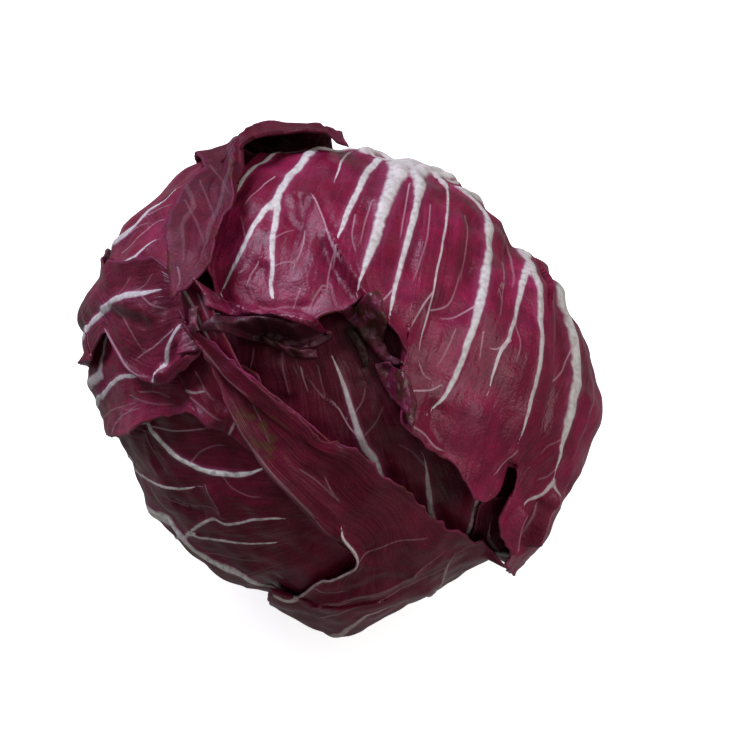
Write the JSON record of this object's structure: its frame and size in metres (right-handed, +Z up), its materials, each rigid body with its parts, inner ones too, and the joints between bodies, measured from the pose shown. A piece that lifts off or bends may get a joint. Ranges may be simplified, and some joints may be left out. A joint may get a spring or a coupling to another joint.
{
  "type": "head of round red radicchio",
  "caption": "Head of round red radicchio standing on its cut stem, with loose outer leaves wrapped round a tight heart.",
  "frame": {"origin": "middle of the flat cut face of the stem, which the head stands on", "axes": "+Z up, from the cut stem through the head to its crown; the picture looks down from above with +X to its right and +Y to its top"},
  "size_m": [0.124, 0.1205, 0.1131],
  "materials": {
    "cut_stem": "matte",
    "heart_leaf": "satin",
    "wine_leaf": "satin",
    "burgundy_leaf": "satin",
    "dusky_leaf": "satin"
  },
  "bodies": {
    "root": {"stem": "cut_stem", "heart": "heart_leaf", "leaf_front_inner": "wine_leaf", "leaf_left_inner": "wine_leaf", "leaf_right": "burgundy_leaf", "leaf_over_crown": "burgundy_leaf", "leaf_low_left": "wine_leaf", "leaf_upper_left": "burgundy_leaf", "leaf_left_under": "burgundy_leaf", "leaf_left": "burgundy_leaf", "leaf_diagonal": "wine_leaf", "leaf_over_left": "dusky_leaf"}
  },
  "joints": []
}
